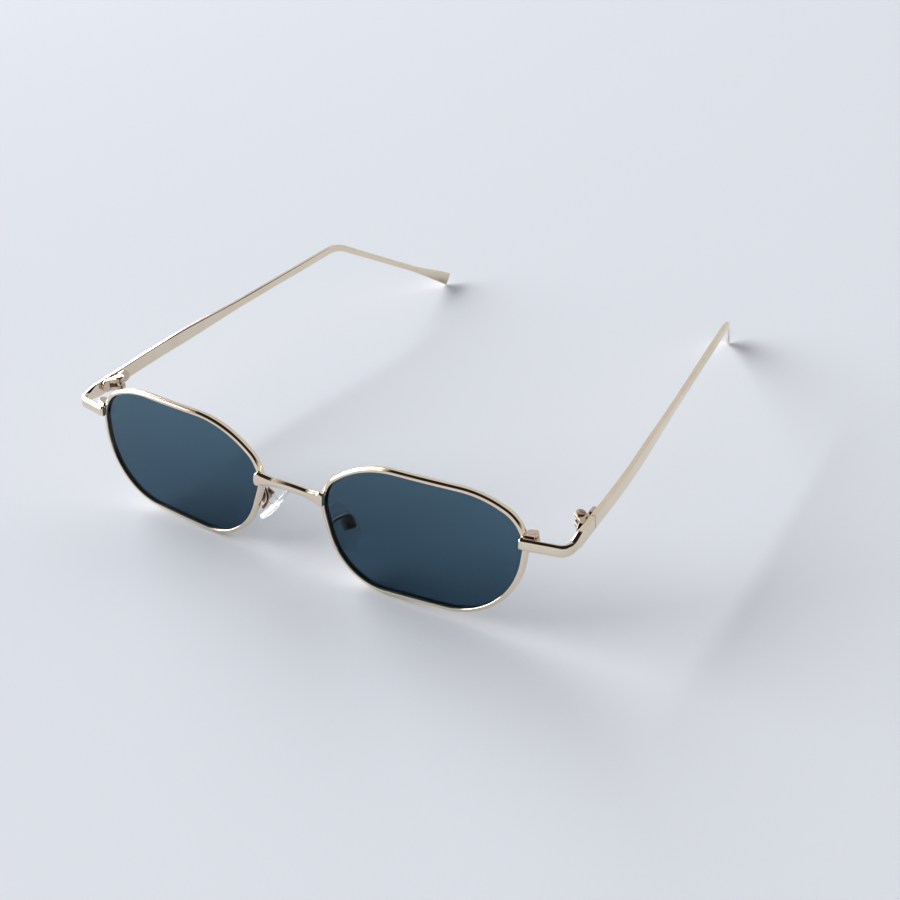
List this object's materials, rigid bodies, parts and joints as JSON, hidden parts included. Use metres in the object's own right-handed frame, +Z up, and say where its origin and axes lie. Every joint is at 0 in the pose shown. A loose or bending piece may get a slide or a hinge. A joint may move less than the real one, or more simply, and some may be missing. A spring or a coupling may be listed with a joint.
{
  "type": "sunglasses",
  "caption": "Slim metal sunglasses with rounded rectangular dark lenses, an arched bridge, screw-on nose pads and folding temples with turned-down ear ends.",
  "frame": {"origin": "on the table plane, under the middle of the whole outline", "axes": "+Z up from the table, -Y the way the lenses face, +X to the right seen from the front"},
  "size_m": [0.14, 0.1514, 0.0313],
  "materials": {
    "frame_metal": "polished",
    "fittings": "polished",
    "screws": "satin",
    "lens": "gloss",
    "nose_pad": "gloss"
  },
  "bodies": {
    "front": {"rim_left": "frame_metal", "rim_right": "frame_metal", "lens_left": "lens", "lens_right": "lens", "bridge": "frame_metal", "end_piece_left": "frame_metal", "end_piece_right": "frame_metal", "upper_lock_left": "fittings", "upper_lock_right": "fittings", "lower_lock_left": "fittings", "lower_lock_right": "fittings", "lock_screw_left": "screws", "lock_screw_right": "screws", "front_leaf_left": "fittings", "front_leaf_right": "fittings", "hinge_screw_left": "screws", "hinge_screw_right": "screws", "pad_arm_left": "fittings", "pad_arm_right": "fittings", "pad_box_left": "fittings", "pad_box_right": "fittings", "pad_screw_left": "screws", "pad_screw_right": "screws"},
    "temple_left": {"temple_left": "frame_metal", "temple_leaf_left": "fittings"},
    "temple_right": {"temple_right": "frame_metal", "temple_leaf_right": "fittings"},
    "nose_pad_left": {"nose_pad_left": "nose_pad"},
    "nose_pad_right": {"nose_pad_right": "nose_pad"}
  },
  "joints": [
    {"name": "fold_left", "type": "hinge", "parent": "front", "child": "temple_left", "pos_m": [-0.06655, -0.05861, 0.02335], "axis": [0, 0, -1], "range_deg": [0, 83]},
    {"name": "fold_right", "type": "hinge", "parent": "front", "child": "temple_right", "pos_m": [0.06655, -0.05861, 0.02335], "axis": [0, 0, 1], "range_deg": [0, 88]},
    {"name": "rock_left", "type": "hinge", "parent": "front", "child": "nose_pad_left", "pos_m": [-0.0123, -0.06747, 0.01006], "axis": [0.3627, -0.9269, 0.0964], "range_deg": [-8, 8]},
    {"name": "rock_right", "type": "hinge", "parent": "front", "child": "nose_pad_right", "pos_m": [0.0123, -0.06747, 0.01006], "axis": [0.3627, 0.9269, -0.0964], "range_deg": [-8, 8]}
  ]
}
